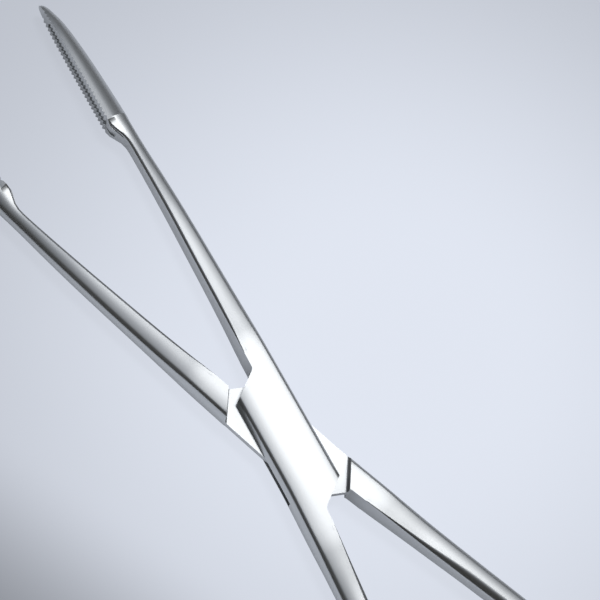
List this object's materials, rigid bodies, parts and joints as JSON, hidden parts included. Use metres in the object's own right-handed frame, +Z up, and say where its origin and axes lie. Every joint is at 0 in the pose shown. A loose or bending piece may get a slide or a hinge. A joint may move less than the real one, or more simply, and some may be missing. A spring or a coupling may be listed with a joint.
{
  "type": "dressing forceps",
  "caption": "Straight dressing forceps with finger rings, a box lock and long slim jaws whose cross-serrated faces carry a lengthwise channel. Satin stainless steel.",
  "frame": {"origin": "on the pivot axis, in the plane that the forceps lies on, which is the lower flat of the box lock", "axes": "+Z up along the pivot axis, +Y along the closed line towards the jaw tips, +X to the jaw of the box arm"},
  "size_m": [0.0984, 0.2468, 0.0062],
  "materials": {
    "satin_steel": "satin, fine blasted grain"
  },
  "bodies": {
    "box_arm": {"box_arm": "satin_steel", "joint_pin": "satin_steel"},
    "through_arm": {"through_arm": "satin_steel"}
  },
  "joints": [
    {"name": "box_lock", "type": "hinge", "parent": "box_arm", "child": "through_arm", "pos_m": [0, 0, 0], "axis": [0, 0, 1], "range_deg": [-19.1, 30.9]}
  ]
}
